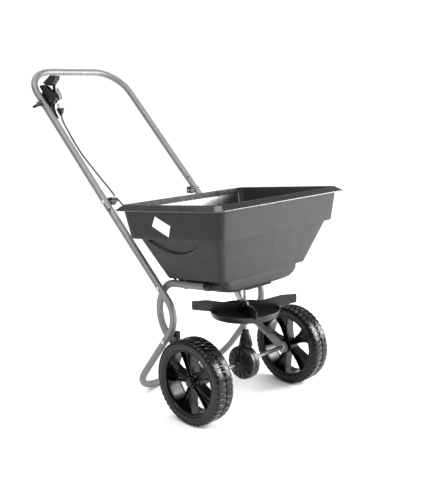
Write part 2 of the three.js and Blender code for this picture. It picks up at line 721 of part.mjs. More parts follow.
for (const [name, side] of SIDES) {
  const supportFace = SUPPORT_Y - TUBE.radius - GAP;
  const legFace = FRAME_Y - TUBE.radius - GAP;
  add(`${name}_upper_cross_bolt`, forSide(side, makeBolt(UPPER_BOLT, 157)), yellowZinc);
  add(`${name}_upper_cross_nut`, forSide(side, makeNut(UPPER_BOLT)), yellowZinc);
  add(`${name}_lower_cross_bolt`, forSide(side, makeBolt(LOWER_BOLT, 144)), yellowZinc);
  add(`${name}_lower_cross_knob`, forSide(side, makeBarKnob(LOWER_BOLT, supportFace, 21)), blackPlastic);
  add(`${name}_fold_bolt`, forSide(side, makeBolt(FOLD, side < 0 ? 152 : 164)), yellowZinc);
  add(`${name}_fold_knob`, forSide(side, makeKnob(FOLD, legFace, 25)), blackPlastic);
}

// ---------------------------------------------------------------- flow control on the right leg

const CONTROL_AXIS = onLeg(CONTROL.along, CONTROL.normal);
const CLAMP = onLeg(CONTROL.clamp);
const BARREL = { top: [-671, 924], bottom: [-665, 886], y: -159.2, radius: 9 };

function makeControlBody() {
  const { along, normal, dial, near, far } = CONTROL;
  const sector = arc(along, normal, dial, 45 * RAD, 130 * RAD, 8);
  const outline = legOutline([
    [368, -8], [474, -8], [475, 12.5], [497, 12.5], [498, 18], [488, 31], [472, 38], ...sector,
    [409, 33], [413.5, 16], [407, 5], [390, -2.5], [371, -4],
  ]);
  const body = plate(outline, near, far);
  return cut(body, pin(3.3, CONTROL_AXIS.x, CONTROL_AXIS.z, -230, -150), pin(3.3, CLAMP.x, CLAMP.z, -230, -150));
}

/** The dial: a thin curved scale on the housing's inboard face, behind the lever's sweep. */
function makeDial() {
  const { along, normal, far } = CONTROL;
  const outer = arc(along, normal, 46, 66 * RAD, 131 * RAD, 8);
  const inner = arc(along, normal, 28, 131 * RAD, 66 * RAD, 8);
  return plate(legOutline([...outer, ...inner]), far + GAP, far + 1.8);
}

/** The lever: a flat arm on the pivot and a broad paddle beyond the dial. */
function makeLever() {
  const { along, normal, far } = CONTROL;
  const hub = arc(along, normal, 10, 140 * RAD, 330 * RAD, 6);
  const arm = plate(legOutline([...hub, [468, 53], [458, 61]]), far + 2.1, far + 5.1);
  const paddle = plate(legOutline([[493, 35], [480, 81], [457, 101], [451, 90], [456, 57], [478, 40]]), -187, far + 4.5);
  return cut(join(arm, paddle), pin(3.3, CONTROL_AXIS.x, CONTROL_AXIS.z, -230, -150));
}

function makePivot() {
  const { x, z } = CONTROL_AXIS;
  return join(pin(3, x, z, -188.5, -166), pin(6, x, z, -166.6, -163.4));
}

function makeClampBolt() {
  const { x, z } = CLAMP;
  return join(pin(3, x, z, -226, -171), pin(6, x, z, -171.7, -167.5, 6));
}

/** Two wings on a hub, the front one a little higher than the rear one. */
function makeWingNut() {
  const wing = [[3, 0], [9, 12], [24, 17], [24, 8], [8, 0]];
  const wings = [-1, 1].map((s) => {
    const outline = wing.map(([out, back]) => [s * out, -214 - back]);
    const shape = new THREE.Shape(outline.map(([z, y]) => new THREE.Vector2(z, y)));
    const geometry = new THREE.ExtrudeGeometry(shape, { depth: 7, bevelEnabled: false });
    return geometry.translate(0, 0, -3.5).rotateY(-Math.PI / 2);
  });
  const hub = rod('y', 8, -225, -212, 12);
  const whole = cut(join(hub, ...wings), rod('y', 3.3, -240, -200, 12));
  return whole.rotateY(66 * RAD).translate(CLAMP.x, 0, CLAMP.z);
}

/** A round piece along the line between the barrel's ends; from and to are distances from its top. */
function onBarrel(radius, from, to, sides = 16) {
  const [x0, z0] = BARREL.top;
  const [x1, z1] = BARREL.bottom;
  const lean = Math.atan2(x1 - x0, z0 - z1);
  return rod('z', radius, -to, -from, sides).rotateY(-lean).translate(x0, BARREL.y, z0);
}

const CABLE_BORE = CABLE.radius + 0.9;
const makeBarrel = () => cut(onBarrel(BARREL.radius, 0, 14.6), onBarrel(CABLE_BORE, 4, 60, 12));
function makeAdjuster() {
  const outside = join(onBarrel(12.2, 15, 23, 12), onBarrel(9.5, 22.5, 31), onBarrel(6, 30.5, 38));
  return cut(outside, onBarrel(CABLE_BORE, -5, 60, 12));
}


add('control_body', makeControlBody(), blackPlastic);
add('dial_plate', makeDial(), palePlastic);
add('flow_lever', makeLever(), blackPlastic);
add('lever_pivot', makePivot(), brightSteel);
add('control_clamp_bolt', makeClampBolt(), brightSteel);
add('wing_nut', makeWingNut(), blackPlastic);
add('cable_barrel', makeBarrel(), palePlastic);
add('cable_adjuster', makeAdjuster(), blackPlastic);

// ---------------------------------------------------------------- control cable and its clip

const legPoint = (along, normal, y) => {
  const { x, z } = onLeg(along, normal);
  return [x, y, z];
};

/** The cable's route on the handle, from the barrel down to just above the clip on the fold bolt. */
const UPPER_ROUTE = [
  [-669.7, BARREL.y, 916],
  [-665, BARREL.y, 886],
  [-655, -161.5, 868],
  legPoint(308, -8, -166),
  legPoint(258, -12, -165),
  legPoint(203, -12, -164),
  legPoint(146, -7, -162),
  legPoint(89, -1, -160),
  legPoint(45, 4, -158.2),
  legPoint(25.4, 5.5, -157.4),
];

const UNDER = { x: -98, z: HOPPER.floor - 8.5 };

/** On through the clip, behind the hopper, and round under it to the stop on the shutter's guide. */
const LOWER_ROUTE = [
  legPoint(24, 5.55, -157.4),
  legPoint(CLIP.along, CLIP.normal, CLIP.y),
  legPoint(-25, 12, -155),
  [-345, -153, 578],
  [-290, -150, 520],
  [-235, -146, 460],
  [-196, -138, 412],
  [-172, -112, 376],
  [-158, -70, 358],
  [-144, -28, 354],
  [-124, -5, 355],
  [UNDER.x + 1, 0, levelZ(UNDER.x, UNDER.z)],
];

function makeLowerCable() {
  const sheath = wire(smoothPath(LOWER_ROUTE, 30), CABLE.radius, CABLE.sides);
  const core = rod('y', 1, -100, -42, 8).rotateZ(-Math.PI / 2).translate(0, 0, SHUTTER.top - 8);
  return join(sheath, underFloor(core));
}

function makeClip() {
  const { along, normal, y } = CLIP;
  const eye = pin(7.3, FOLD.x, FOLD.z, y - 3, y + 3, 12);
  const spot = onLeg(along, normal);
  const lean = 51 * RAD;
  const sleeve = (radius, half) => rod('z', radius, -half, half, 10).rotateY(-lean).translate(spot.x, y, spot.z);
  return cut(join(eye, sleeve(5, 4.5)), pin(4.3, FOLD.x, FOLD.z, y - 9, y + 9), sleeve(CABLE.radius + 0.6, 20));
}

add('cable_clip', makeClip(), palePlastic);
add('upper_cable', wire(smoothPath(UPPER_ROUTE, 22), CABLE.radius, CABLE.sides), blackRubber);
add('lower_cable', makeLowerCable(), blackRubber);

// ---------------------------------------------------------------- origin under the middle of the machine

const box = new THREE.Box3().setFromObject(machine);
machine.position.set(-(box.min.x + box.max.x) / 2, 0, -box.min.z);

export default machine;
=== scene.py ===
"""The looks of a walk-behind broadcast spreader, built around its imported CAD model.

Places are written in millimetres from the point on the ground under the axle, +X forward, +Y to the
left and +Z up, and put() turns them into the frame's metres.
"""

import math

import bmesh
import bpy
from mathutils import Matrix, Vector


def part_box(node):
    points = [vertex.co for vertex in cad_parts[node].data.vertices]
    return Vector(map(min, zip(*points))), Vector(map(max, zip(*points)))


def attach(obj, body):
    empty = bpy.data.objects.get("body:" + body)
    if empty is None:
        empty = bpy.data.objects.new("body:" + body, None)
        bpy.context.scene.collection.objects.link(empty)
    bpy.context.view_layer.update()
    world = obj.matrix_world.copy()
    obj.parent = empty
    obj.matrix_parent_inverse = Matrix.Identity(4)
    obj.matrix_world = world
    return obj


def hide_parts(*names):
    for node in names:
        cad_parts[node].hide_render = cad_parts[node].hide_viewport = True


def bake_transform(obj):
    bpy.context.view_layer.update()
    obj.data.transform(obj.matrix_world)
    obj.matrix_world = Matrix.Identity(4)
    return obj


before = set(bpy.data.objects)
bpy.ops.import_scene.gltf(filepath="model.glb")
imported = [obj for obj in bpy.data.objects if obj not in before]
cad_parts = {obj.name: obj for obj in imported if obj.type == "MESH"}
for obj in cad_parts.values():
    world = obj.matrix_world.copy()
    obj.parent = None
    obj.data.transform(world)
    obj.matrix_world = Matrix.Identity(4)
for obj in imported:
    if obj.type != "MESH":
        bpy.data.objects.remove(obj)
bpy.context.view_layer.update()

# ------------------------------------------------------------------ driving dimensions (mm)

SIDES = (("right", -1), ("left", 1))
WHEEL = {
    "radius": 127, "inner": 191.5, "width": 64, "rim": 98.5, "spokes": 5, "first_spoke": math.radians(32),
}
AXLE_Z = 127
TUBE_R = 11
FRAME_Y = 200.5
HOPPER_TUBE_Y = 178
FOLD = (-400, 617)
LEAN = math.radians(44.2)
HANDLE_LENGTH = 582
HANDLE_BEND = 105
LAP = {"lower_top": 47, "lower_shoulder": -40, "upper_end": -32, "upper_shoulder": 54, "gap": 0.2}
LAP_BEHIND_X = -250  # the legs' laps are behind this, and the stand's front is ahead of it
KNEE = (-79.5, 293.9)
KNEE_BEND = 77
FOOT_SLOPE = 0.8183
FOOT_BEND = 108
BULGE = (-253.4, 275.5)
BULGE_BEND = 106
SUPPORT = {"front": 11, "back": -143, "bend": 50, "height": 398.2, "slope": 0.066}
EYE = {"bore": 11.2, "radius": 19.5, "half": 3.1, "tube_end": 14, "neck": (44, 74)}
EYE_WIDER, EYE_THINNER = 0.45, 0.72  # shares by which the pressed end gains width and loses thickness
HOPPER_TILT = math.radians(3.8)
FLOOR, LEDGE, STEP, RIM, TOP = 372, 415, 539, 624, 641
BOLT_X = -70
PORT = {"x": 39, "y": 31, "radius": 13}
SHAFT_HOLE_R = 12.3
IMPELLER = {"z": 291, "radius": 107, "reach": 163, "angle": math.radians(-36.3), "blades": 4}
CONTROL_AXIS = (423.5, 21.4)  # the lever's pivot, up the leg and forward of it
DIAL = {
    "first": math.radians(72), "pitch": math.radians(5.6), "marks": 11, "outer": 45.2, "half_width": 0.7,
}
CABLE_R = 2.75
CABLE_DROP = 8.5  # from the hopper's floor to the cable under it
ROUND = 144  # segments round a wheel
TUBE_SIDES = 28

shaft_low, shaft_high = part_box("impeller_shaft")
AXLE_X = (shaft_low[0] + shaft_high[0]) / 2


def put(x, y, z):
    """A point in the frame's metres."""
    return Vector((x / 1000 + AXLE_X, y / 1000, z / 1000))


# ------------------------------------------------------------------ materials


class Nodes:
    """A material under construction: adds shader nodes and wires them."""

    def __init__(self, name):
        self.material = bpy.data.materials.new(name)
        self.material.use_nodes = True
        self.tree = self.material.node_tree
        self.shader = self.tree.nodes["Principled BSDF"]
        self.place = self.tree.nodes.new("ShaderNodeTexCoord").outputs["Object"]

    def add(self, kind, **inputs):
        node = self.tree.nodes.new(kind)
        for key, value in inputs.items():
            socket = node.inputs[key.replace("_", " ")]
            if isinstance(value, bpy.types.NodeSocket):
                self.tree.links.new(value, socket)
            else:
                socket.default_value = value
        return node

    def noise(self, scale, detail=3.0, roughness=0.5):
        node = self.add("ShaderNodeTexNoise", Vector=self.place, Scale=scale, Detail=detail)
        node.inputs["Roughness"].default_value = roughness
        return node.outputs["Fac"]

    def cells(self, scale):
        node = self.add("ShaderNodeTexVoronoi", Vector=self.place, Scale=scale)
        node.feature = "SMOOTH_F1"
        return node.outputs["Distance"]

    def spread(self, value, low, high, start=0.3, end=0.7):
        node = self.tree.nodes.new("ShaderNodeMapRange")
        self.tree.links.new(value, node.inputs["Value"])
        for key, number in (("From Min", start), ("From Max", end), ("To Min", low), ("To Max", high)):
            node.inputs[key].default_value = number
        return node.outputs["Result"]

    def colours(self, value, *stops):
        node = self.tree.nodes.new("ShaderNodeValToRGB")
        self.tree.links.new(value, node.inputs["Fac"])
        ramp = node.color_ramp
        while len(ramp.elements) < len(stops):
            ramp.elements.new(0.5)
        for element, (place, shade) in zip(ramp.elements, stops):
            element.position = place
            element.color = (*shade, 1)
        return node.outputs["Color"]

    def bump(self, height, strength, distance):
        node = self.add("ShaderNodeBump", Height=height, Strength=strength, Distance=distance)
        self.link(node.outputs["Normal"], "Normal")

    def link(self, output, name):
        self.tree.links.new(output, self.shader.inputs[name])

    def set(self, name, value):
        self.shader.inputs[name].default_value = value


def shade_of(colour, factor):
    return tuple(channel * factor for channel in colour)


def plastic(name, colour, roughness, grain=900, depth=0.00012, coat=0.0, specular=0.5):
    """Moulded plastic: a finely grained skin with faint blotches of shade and of gloss."""
    n = Nodes(name)
    blotch = n.noise(11, 4, 0.6)
    n.link(n.colours(blotch, (0.3, shade_of(colour, 0.86)), (0.7, shade_of(colour, 1.12))), "Base Color")
    n.link(n.spread(n.noise(38, 5), roughness - 0.05, roughness + 0.07), "Roughness")
    n.bump(n.noise(grain, 2), 0.35, depth)
    n.set("Specular IOR Level", specular)
    n.set("Coat Weight", coat)
    n.set("Coat Roughness", 0.12)
    return n.material


def hammered(name, colour):
    """Hammered metallic paint: shallow round dimples with darker veins between them."""
    n = Nodes(name)
    cell = n.cells(330)
    tone = n.colours(cell, (0.0, shade_of(colour, 1.16)), (0.55, colour), (1.0, shade_of(colour, 0.62)))
    n.link(tone, "Base Color")
    n.link(n.spread(n.noise(60, 4), 0.46, 0.56), "Roughness")
    n.bump(cell, 0.05, 0.0002)
    n.set("Metallic", 0.62)
    return n.material


def metal(name, colour, roughness):
    """Plated steel with fine scratches and cloudy patches in the plating."""
    n = Nodes(name)
    cloud = n.noise(85, 6, 0.65)
    n.link(n.colours(cloud, (0.3, shade_of(colour, 0.78)), (0.7, shade_of(colour, 1.1))), "Base Color")
    n.link(n.spread(n.noise(420, 4), roughness - 0.07, roughness + 0.12), "Roughness")
    n.bump(n.noise(1500, 2), 0.25, 0.00008)
    n.set("Metallic", 1.0)
    return n.material


frame_paint = hammered("frame_paint", (0.185, 0.19, 0.20))
hopper_skin = plastic(
    "hopper_plastic", (0.0085, 0.0085, 0.0088), 0.43, grain=700, depth=0.00025, specular=0.30)
# The lip is the same plastic as the outside: its lighter colour is a painted highlight along the rim, and
# only its higher gloss and coat are real.
painted_highlight_lip = plastic("hopper_lip_painted_highlight", (0.012, 0.0122, 0.0126), 0.27, grain=700, depth=0.0001, coat=0.5)
# The inside is the same plastic as the outside: its lighter colour is a painted reflection on the inner
# walls, and only its gloss and coat are real.
painted_reflection_inside = plastic(
    "hopper_inside_painted_reflection", (0.026, 0.026, 0.027), 0.24, grain=500, depth=0.00008, coat=0.35)
black_plastic = plastic("black_plastic", (0.004, 0.004, 0.0044), 0.33, specular=0.36)
rim_plastic = plastic("rim_plastic", (0.002, 0.002, 0.0022), 0.25, specular=0.30)
impeller_skin = plastic("impeller_plastic", (0.0085, 0.0092, 0.0105), 0.31, specular=0.4)
tyre_skin = plastic("tyre_plastic", (0.002, 0.002, 0.0022), 0.24, grain=1200, depth=0.00006, specular=0.30)
pale_plastic = plastic("pale_plastic", (0.62, 0.63, 0.62), 0.42)
label_paper = plastic("label_paper", (0.86, 0.86, 0.86), 0.45, grain=2500, depth=0.00003)
cable_skin = plastic("cable_sheath", (0.022, 0.022, 0.024), 0.36)
yellow_zinc = metal("yellow_zinc", (0.62, 0.56, 0.36), 0.34)
bright_steel = metal("bright_steel", (0.66, 0.67, 0.69), 0.28)
dark_steel = metal("dark_steel", (0.20, 0.205, 0.215), 0.34)

# ------------------------------------------------------------------ mesh helpers


def finish_mesh(name, bm, material, body, nodes=(), smooth=35, bevel=0.0):
    """Turns a bmesh in metres into a piece that rides on a body, if one is named, and stands for nodes."""
    bmesh.ops.recalc_face_normals(bm, faces=bm.faces)
    mesh = bpy.data.meshes.new(name)
    bm.to_mesh(mesh)
    bm.free()
    mesh.materials.append(material)
    mesh.shade_smooth()
    mesh.set_sharp_from_angle(angle=math.radians(smooth))
    piece = bpy.data.objects.new(name, mesh)
    bpy.context.scene.collection.objects.link(piece)
    if bevel:
        round_edges(piece, bevel)
    if body:
        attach(piece, body)
    if nodes:
        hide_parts(*nodes)
    return piece


def round_edges(piece, width_mm, angle=38):
    bevel = piece.modifiers.new("rounded_edges", "BEVEL")
    bevel.width = width_mm / 1000
    bevel.segments = 2
    bevel.limit_method = "ANGLE"
    bevel.angle_limit = math.radians(angle)
    bevel.harden_normals = True


def add_rings(bm, rings, close=False):
    """Skins rings of points, each closed on itself, and caps the ends unless the last joins the first."""
    rows = [[bm.verts.new(point) for point in ring] for ring in rings]
    count = len(rows[0])
    pairs = list(zip(rows, rows[1:]))
    if close:
        pairs.append((rows[-1], rows[0]))
    for low, high in pairs:
        for i in range(count):
            j = (i + 1) % count
            bm.faces.new((low[i], low[j], high[j], high[i]))
    if not close:
        bm.faces.new(rows[0])
        bm.faces.new(rows[-1])
    return rows


def add_turned(bm, profile, segments, place, close=False):
    """Turns (radius, height) pairs about an axis. place(radius, height, angle) gives the point.

    A closed profile makes a solid with a bore, and an open one is capped at its ends.
    """
    turns = [2 * math.pi * i / segments for i in range(segments)]
    add_rings(bm, [[place(radius, height, turn) for turn in turns] for radius, height in profile], close)


def soften(profile, reach=1.2, steps=3):
    """Rounds the inner corners of a chain of tuples, keeping its ends."""
    result = [profile[0]]
    for before, corner, after in zip(profile, profile[1:], profile[2:]):
        into, out = (Vector(before) - Vector(corner)), (Vector(after) - Vector(corner))
        near = min(reach, 0.45 * into.length, 0.45 * out.length)
        a = Vector(corner) + into.normalized() * near
        b = Vector(corner) + out.normalized() * near
        for i in range(steps + 1):
            t = i / steps
            point = a * (1 - t) ** 2 + Vector(corner) * 2 * t * (1 - t) + b * t ** 2
            result.append(tuple(point))
    result.append(profile[-1])
    return result


def on_leg(along, normal=0.0):
    """A point by the handle leg in the X-Z plane: up the leg from the fold bolt, and forward of it."""
    sin, cos = math.sin(LEAN), math.cos(LEAN)
    return (FOLD[0] - along * sin + normal * cos, FOLD[1] + along * cos + normal * sin)


def leg_point(along, normal, y):
    x, z = on_leg(along, normal)
    return (x, y, z)


def ease(value, start, end):
    """Rises smoothly from 0 at start to 1 at end."""
    t = min(1.0, max(0.0, (value - start) / (end - start)))
    return t * t * (3 - 2 * t)


# ------------------------------------------------------------------ bent tubes


def bent_path(corners, step=6.0, turn_step=math.radians(5)):
    """Points and headings along straight runs and round bends, from corners (point, bend radius)."""
    points = [Vector(p) for p, _ in corners]
    stations = []

    def straight(a, b):
        count = max(1, round((b - a).length / step))
        heading = (b - a).normalized()
        for i in range(count + 1):
            stations.append((a.lerp(b, i / count), heading))

    start = points[0]
    for i in range(1, len(points) - 1):
        into = (points[i] - points[i - 1]).normalized()
        out = (points[i + 1] - points[i]).normalized()
        angle = into.angle(out)
        radius = corners[i][1]
        entry = points[i] - into * radius * math.tan(angle / 2)
        axis = into.cross(out).normalized()
        centre = entry + axis.cross(into) * radius
        straight(start, entry)
        steps = max(2, math.ceil(angle / turn_step))
        for k in range(1, steps):
            turn = Matrix.Rotation(angle * k / steps, 3, axis)
            stations.append((centre + turn @ (entry - centre), turn @ into))
        start = centre + Matrix.Rotation(angle, 3, axis) @ (entry - centre)
    straight(start, points[-1])
    return stations


def smooth_path(points, steps):
    """Points and headings along a centripetal Catmull-Rom curve through points."""
    chain = [Vector(p) for p in points]
    chain = [2 * chain[0] - chain[1], *chain, 2 * chain[-1] - chain[-2]]
    places = []
    for p0, p1, p2, p3 in zip(chain, chain[1:], chain[2:], chain[3:]):
        t1 = math.sqrt((p1 - p0).length)
        t2 = t1 + math.sqrt((p2 - p1).length)
        t3 = t2 + math.sqrt((p3 - p2).length)
        for i in range(steps):
            t = t1 + (t2 - t1) * i / steps
            a1 = p0.lerp(p1, t / t1)
            a2 = p1.lerp(p2, (t - t1) / (t2 - t1))
            a3 = p2.lerp(p3, (t - t2) / (t3 - t2))
            b1 = a1.lerp(a2, t / t2)
            b2 = a2.lerp(a3, (t - t1) / (t3 - t1))
            places.append(b1.lerp(b2, (t - t1) / (t2 - t1)))
    places.append(chain[-2])
    after = places[1:] + [places[-1]]
    before = [places[0]] + places[:-1]
    return [(p, (b - a).normalized()) for p, a, b in zip(places, before, after)]


def tube_rings(stations, radius, sides, shape=None):
    """Rings of points round a path, carried along it without twist. shape(point) may move a point."""
    heading = stations[0][1]
    side = heading.orthogonal().normalized()
    rings = []
    for point, ahead in stations:
        side = heading.rotation_difference(ahead) @ side
        side = (side - ahead * side.dot(ahead)).normalized()
        heading = ahead
        other = ahead.cross(side)
        ring = []
        for i in range(sides):
            turn = 2 * math.pi * i / sides
            place = point + (side * math.cos(turn) + other * math.sin(turn)) * radius
            if shape:
                place = shape(place)
            ring.append(put(*place))
        rings.append(ring)
    return rings


def along_leg(place):
    return (FOLD[0] - place.x) * math.sin(LEAN) + (place.z - FOLD[1]) * math.cos(LEAN)


def lower_lap(place):
    """Presses the lower tube's end flat on its outboard side, where the two tubes lap."""
    t = ease(along_leg(place), LAP["lower_shoulder"] - 2, LAP["lower_shoulder"] + 9)
    if place.x > LAP_BEHIND_X or not t:
        return place
    limit = FRAME_Y + TUBE_R * (1 - t) - LAP["gap"] * t
    return Vector((place.x, math.copysign(min(abs(place.y), limit), place.y), place.z))


def upper_lap(place):
    """Presses the handle's end flat on its inboard side."""
    t = 1 - ease(along_leg(place), LAP["upper_shoulder"] - 9, LAP["upper_shoulder"] + 2)
    limit = FRAME_Y - TUBE_R * (1 - t) + LAP["gap"] * t
    if abs(place.y) > limit or not t:
        return place
    return Vector((place.x, math.copysign(limit, place.y), place.z))


def make_lower_tube():
    foot_z = TUBE_R * math.cos(math.pi / 10)
    foot_x = KNEE[0] - (KNEE[1] - foot_z) * FOOT_SLOPE
    top_x, top_z = on_leg(LAP["lower_top"])

    def leg(y):
        return [
            ((top_x, y, top_z), 0),
            ((KNEE[0], y, KNEE[1]), KNEE_BEND),
            ((foot_x, y, foot_z), FOOT_BEND),
        ]

    def shape(place):
        place = lower_lap(place)
        return Vector((place.x, place.y, max(place.z, 0.0)))

    bm = bmesh.new()
    stations = bent_path(leg(-FRAME_Y) + leg(FRAME_Y)[::-1])
    add_rings(bm, tube_rings(stations, TUBE_R, TUBE_SIDES, shape))
    finish_mesh("frame_and_stand", bm, frame_paint, "chassis", ["lower_frame_tube"])


def make_handle():
    def corner(y, along, radius):
        x, z = on_leg(along)
        return ((x, y, z), radius)

    corners = [
        corner(-FRAME_Y, LAP["upper_end"], 0),
        corner(-FRAME_Y, HANDLE_LENGTH, HANDLE_BEND),
        corner(FRAME_Y, HANDLE_LENGTH, HANDLE_BEND),
        corner(FRAME_Y, LAP["upper_end"], 0),
    ]
    bm = bmesh.new()
    add_rings(bm, tube_rings(bent_path(corners), TUBE_R, TUBE_SIDES, upper_lap))
    finish_mesh("push_handle", bm, frame_paint, "handle", ["upper_handle"])


def support_z(x):
    return SUPPORT["height"] + SUPPORT["slope"] * x


def make_hopper_tubes():
    run = math.hypot(BULGE[0], BULGE[1] - AXLE_Z)
    toward = (BULGE[0] / run, (BULGE[1] - AXLE_Z) / run)
    for name, side in SIDES:
        y = side * HOPPER_TUBE_Y
        end = (toward[0] * EYE["tube_end"], y, AXLE_Z + toward[1] * EYE["tube_end"])
        stations = bent_path([
            ((SUPPORT["front"], y, support_z(SUPPORT["front"])), 0),
            ((SUPPORT["back"], y, support_z(SUPPORT["back"])), SUPPORT["bend"]),
            ((BULGE[0], y, BULGE[1]), BULGE_BEND),
            (end, 0),
        ])

        def flatten(place):
            """Presses the tube's end thin and wide towards the axle."""
            t = 1 - ease(math.hypot(place.x, place.z - AXLE_Z), *EYE["neck"])
            if not t:
                return place
            across = -toward[1] * place.x + toward[0] * (place.z - AXLE_Z)
            wide = across * EYE_WIDER * t
            thin = y + (place.y - y) * (1 - EYE_THINNER * t)
            return Vector((place.x - toward[1] * wide, thin, place.z + toward[0] * wide))

        bm = bmesh.new()
        add_rings(bm, tube_rings(stations, TUBE_R, TUBE_SIDES, flatten))

        def eye(radius, height, turn):
            return put(radius * math.cos(turn), y + height, AXLE_Z + radius * math.sin(turn))

        bore, edge, half = EYE["bore"], EYE["radius"], EYE["half"]
        profile = soften([(bore, -half), (edge, -half), (edge, half), (bore, half)], 0.8)
        add_turned(bm, profile, 40, eye, close=True)
        node = f"{name}_hopper_tube"
        finish_mesh(f"{name}_hopper_support", bm, frame_paint, "chassis", [node])


# ------------------------------------------------------------------ hopper

# Each level is (height, centre x, half length, half width, corner radius).
HOPPER_OUTSIDE = [
    (FLOOR, 0, 86, 122, 22),
    (FLOOR + 5, 1, 95, 143, 24),
    (FLOOR + 14, 1, 100, 156, 22),
    (FLOOR + 27, 2, 103, 163, 18),
    (LEDGE - 1, 2, 104, 165, 18),
    (LEDGE, 1, 114, 190, 18),
    (LEDGE + 5, 1, 116.5, 192, 18),
    (STEP, 3, 167, 241, 20),
    (STEP + 1, -4, 187, 253, 20),
    (STEP + 7, -4, 188, 255, 20),
    (RIM - 1, -4, 204, 261, 22),
    (RIM, -4, 217.5, 279, 18),
    (RIM + 3, -4, 218.5, 280, 18),
    (TOP - 3, -4, 205, 267, 20),
    (TOP, -4, 201.5, 263.5, 20),
]
HOPPER_INSIDE = [
    (TOP, -4, 197.3, 257.3, 17),
    (RIM - 1, -4, 197.5, 256, 18),
    (STEP + 5.5, -4, 184, 250, 17),
    (STEP + 3.5, 3, 163.5, 237.5, 17),
    (LEDGE + 4.5, 1, 111, 186.5, 15),
    (LEDGE + 2.5, 2, 100.5, 161.5, 15),
    (FLOOR + 29, 2, 99.5, 159.5, 15),
    (FLOOR + 17, 1, 96.5, 153, 19),
    (FLOOR + 9, 1, 91.5, 139.5, 21),
    (FLOOR + 4, 0, 84, 118, 19),
]
RECESS = {"centre": -15, "half_chord": 111, "drop": 46, "depth": 6, "lowest": STEP - 56, "stretch": 1.1}
RECESS_ROWS = (440, STEP)  # the heights between which the wall has close rows
WALL_ROW = 3.0  # spacing of the rows on the sloping wall, fine enough to carry the recess


def refine(levels):
    """Adds rows to the sloping walls that hold the recess."""
    result = [levels[0]]
    for low, high in zip(levels, levels[1:]):
        middle = (low[0] + high[0]) / 2
        tall = abs(high[0] - low[0])
        close_rows = RECESS_ROWS[0] < middle < RECESS_ROWS[1] and tall > 50
        rows = round(tall / WALL_ROW) if close_rows else max(1, round(tall / 30))
        for i in range(1, rows + 1):
            result.append(tuple(Vector(low).lerp(Vector(high), i / rows)))
    return result


def tilt(u, y, w):
    """From the hopper's own upright axes to the machine's."""
    sin, cos = math.sin(HOPPER_TILT), math.cos(HOPPER_TILT)
    return put(u * cos - w * sin, y, u * sin + w * cos)


def recess_depth(u, w):
    """How far the half-moon recess sinks into a side wall at length u and height w."""
    if w > STEP + 0.2 or w < RECESS["lowest"]:
        return 0.0
    drop, chord = RECESS["drop"], RECESS["half_chord"]
    radius = (chord ** 2 + drop ** 2) / (2 * drop)
    down = (w - STEP) * RECESS["stretch"]
    inside = radius - math.hypot(u - RECESS["centre"], down - (radius - drop))
    return RECESS["depth"] * ease(inside, 0, 3.2)


def hopper_ring(level, long_side=112, short_side=36, corner=8):
    """The ring of points at a level, with the recesses pressed into its two side walls."""
    w, cx, hx, hy, radius = level
    ring = []
    for quarter, (sx, sy) in enumerate(((1, 1), (-1, 1), (-1, -1), (1, -1))):
        mx, my = cx + sx * (hx - radius), sy * (hy - radius)
        for i in range(corner + 1):
            turn = (quarter + i / corner) * math.pi / 2
            ring.append((mx + radius * math.cos(turn), my + radius * math.sin(turn)))
        last_x, last_y = ring[-1]
        if quarter % 2 == 0:
            count, step_x, step_y = long_side, -sx * 2 * (hx - radius) / long_side, 0.0
        else:
            count, step_x, step_y = short_side, 0.0, -sy * 2 * (hy - radius) / short_side
        for i in range(1, count):
            ring.append((last_x + step_x * i, last_y + step_y * i))
    points = []
    for u, y in ring:
        side_wall = abs(y) > hy - 0.5
        depth = recess_depth(u, w) if side_wall else 0.0
        points.append(tilt(u, y - math.copysign(depth, y), w))
    return points


def make_hopper():
    outside = refine(soften(HOPPER_OUTSIDE, 1.6, 3))
    inside = refine(soften(HOPPER_INSIDE, 2.2, 3))
    bm = bmesh.new()
    rows = add_rings(bm, [hopper_ring(level) for level in outside + inside])
    inner_verts = {vert for row in rows[len(outside):] for vert in row}
    lip_rows = [row for row, level in zip(rows, outside) if level[0] > RIM - 0.6]
    lip_rows.append(rows[len(outside)])
    lip_verts = {vert for row in lip_rows for vert in row}
    # Lip faces take the plastic with the painted highlight, and inside faces the plastic with the painted
    # reflection.
    inside_reflection_slot, lip_highlight_slot = 1, 2
    for face in bm.faces:
        if all(vert in lip_verts for vert in face.verts):
            face.material_index = lip_highlight_slot
        elif all(vert in inner_verts for vert in face.verts):
            face.material_index = inside_reflection_slot
    low, high = support_z(BOLT_X) + TUBE_R + 1, LEDGE + BOLT_X * math.tan(HOPPER_TILT) + 1
    for _, side in SIDES:
        def boss(radius, height, turn):
            across = side * HOPPER_TUBE_Y + radius * math.sin(turn)
            return put(BOLT_X + radius * math.cos(turn), across, height)

        add_turned(bm, [(6.4, low), (7, low + 0.6), (8.5, high)], 24, boss)
    piece = finish_mesh("hopper_shell", bm, hopper_skin, "chassis", ["hopper"], smooth=50)
    # The second material is the inside's, with its painted reflection, and the third is the lip's, with its
    # painted highlight.
    piece.data.materials.append(painted_reflection_inside)
    piece.data.materials.append(painted_highlight_lip)
    cutters = [(0, 0, SHAFT_HOLE_R)] + [(PORT["x"], side * PORT["y"], PORT["radius"]) for _, side in SIDES]
    for x, y, radius in cutters:
        cut_hole(piece, x, y, radius, FLOOR - 22, FLOOR + 20)


